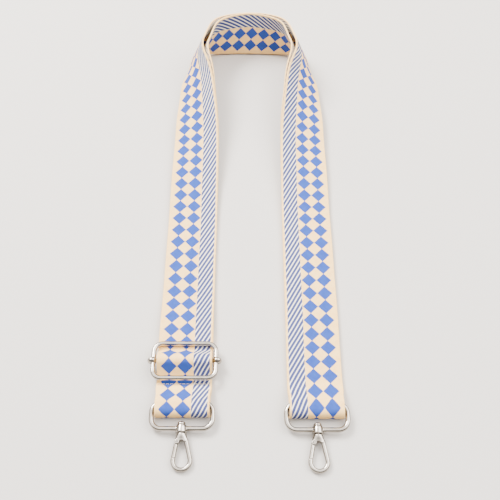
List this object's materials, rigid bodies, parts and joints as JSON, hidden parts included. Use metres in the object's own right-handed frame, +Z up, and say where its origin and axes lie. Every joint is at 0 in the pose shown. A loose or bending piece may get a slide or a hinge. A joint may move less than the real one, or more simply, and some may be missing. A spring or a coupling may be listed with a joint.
{
  "type": "detachable bag strap",
  "caption": "Adjustable webbing bag strap laid in an arch, with an oblong slider and a swivel snap hook on a ring at each end.",
  "frame": {"origin": "middle of the footprint at table height", "axes": "+Y along the legs towards the arch, +Z up, +X towards the leg without the slider"},
  "size_m": [0.1372, 0.408, 0.0403],
  "materials": {
    "webbing": "woven jacquard in cream and blue",
    "plated_metal": "polished nickel plate",
    "spring_steel": "drawn spring wire"
  },
  "bodies": {
    "strap": {"webbing": "webbing", "slider_bar": "plated_metal"},
    "slider_frame": {"slider_frame": "plated_metal"},
    "left_ring": {"left_ring": "plated_metal"},
    "left_hook": {"left_swivel_rivet": "plated_metal", "left_hook_body": "plated_metal", "left_gate_pin": "plated_metal"},
    "left_gate": {"left_gate": "plated_metal", "left_gate_spring": "spring_steel"},
    "right_ring": {"right_ring": "plated_metal"},
    "right_hook": {"right_swivel_rivet": "plated_metal", "right_hook_body": "plated_metal", "right_gate_pin": "plated_metal"},
    "right_gate": {"right_gate": "plated_metal", "right_gate_spring": "spring_steel"}
  },
  "joints": [
    {"name": "slider_slide", "type": "slide", "parent": "strap", "child": "slider_frame", "axis": [0, 1, 0], "range_m": [-0.002, 0.002]},
    {"name": "left_ring_turn", "type": "hinge", "parent": "strap", "child": "left_ring", "pos_m": [-0.04327, -0.1592, 0.00541], "axis": [1, 0, 0], "range_deg": [-150, 120]},
    {"name": "left_hook_swivel", "type": "hinge", "parent": "left_ring", "child": "left_hook", "pos_m": [-0.04327, -0.17534, 0.0041], "axis": [-0.0419, 0.9959, 0.0807], "continuous": true},
    {"name": "left_gate_turn", "type": "hinge", "parent": "left_hook", "child": "left_gate", "pos_m": [-0.04582, -0.18383, 0.00341], "axis": [0, -0.0808, 0.9967], "range_deg": [0, 30], "stiffness_Nm_per_rad": 0.02, "springref_deg": -17.19},
    {"name": "right_ring_turn", "type": "hinge", "parent": "strap", "child": "right_ring", "pos_m": [0.04652, -0.1599, 0.00541], "axis": [1, 0, 0], "range_deg": [-150, 120]},
    {"name": "right_hook_swivel", "type": "hinge", "parent": "right_ring", "child": "right_hook", "pos_m": [0.04652, -0.17604, 0.0041], "axis": [0, 0.9967, 0.0808], "continuous": true},
    {"name": "right_gate_turn", "type": "hinge", "parent": "right_hook", "child": "right_gate", "pos_m": [0.04362, -0.18441, 0.00342], "axis": [0, -0.0808, 0.9967], "range_deg": [0, 30], "stiffness_Nm_per_rad": 0.02, "springref_deg": -17.19}
  ]
}
